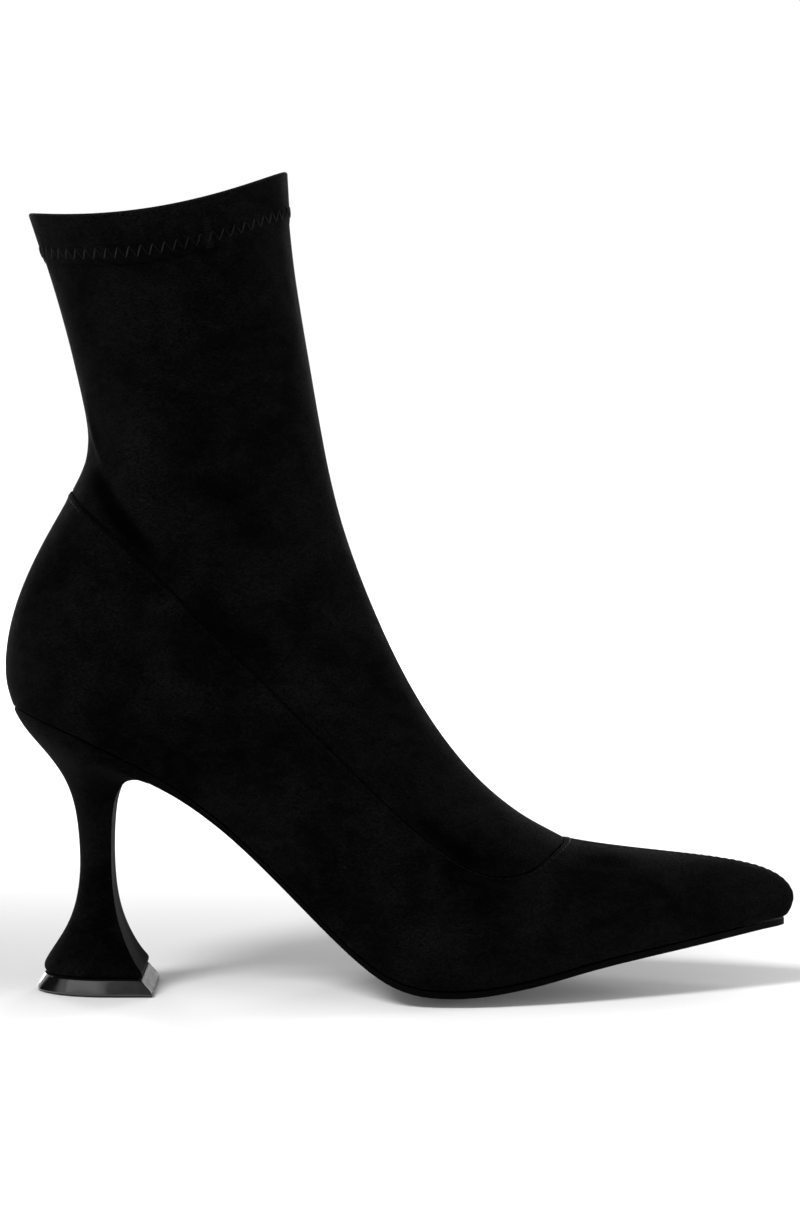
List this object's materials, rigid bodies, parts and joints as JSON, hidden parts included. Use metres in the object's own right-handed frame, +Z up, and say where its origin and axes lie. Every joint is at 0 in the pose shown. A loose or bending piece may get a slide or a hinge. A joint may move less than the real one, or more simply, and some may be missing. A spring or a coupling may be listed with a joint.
{
  "type": "pointed sock ankle boot with flared heel",
  "caption": "Women's pull-on sock ankle boot in black faux suede: pointed toe, curved seam between shoe and shaft, slim waisted heel that flares to a D-shaped lift.",
  "frame": {"origin": "on the floor, under the middle of the boot's box", "axes": "+X to the toe, +Y to the inner side of the foot, +Z up"},
  "size_m": [0.242, 0.0772, 0.25],
  "materials": {
    "suede": "brushed black faux suede with a soft nap",
    "sole_sheet": "satin black sole sheet",
    "gloss_plastic": "glossy black moulded plastic",
    "lining": "matt black lining cloth"
  },
  "bodies": {
    "root": {"upper": "suede", "shaft": "suede", "heel": "suede", "outsole": "sole_sheet", "heel_lift": "gloss_plastic", "insole": "lining"}
  },
  "joints": []
}
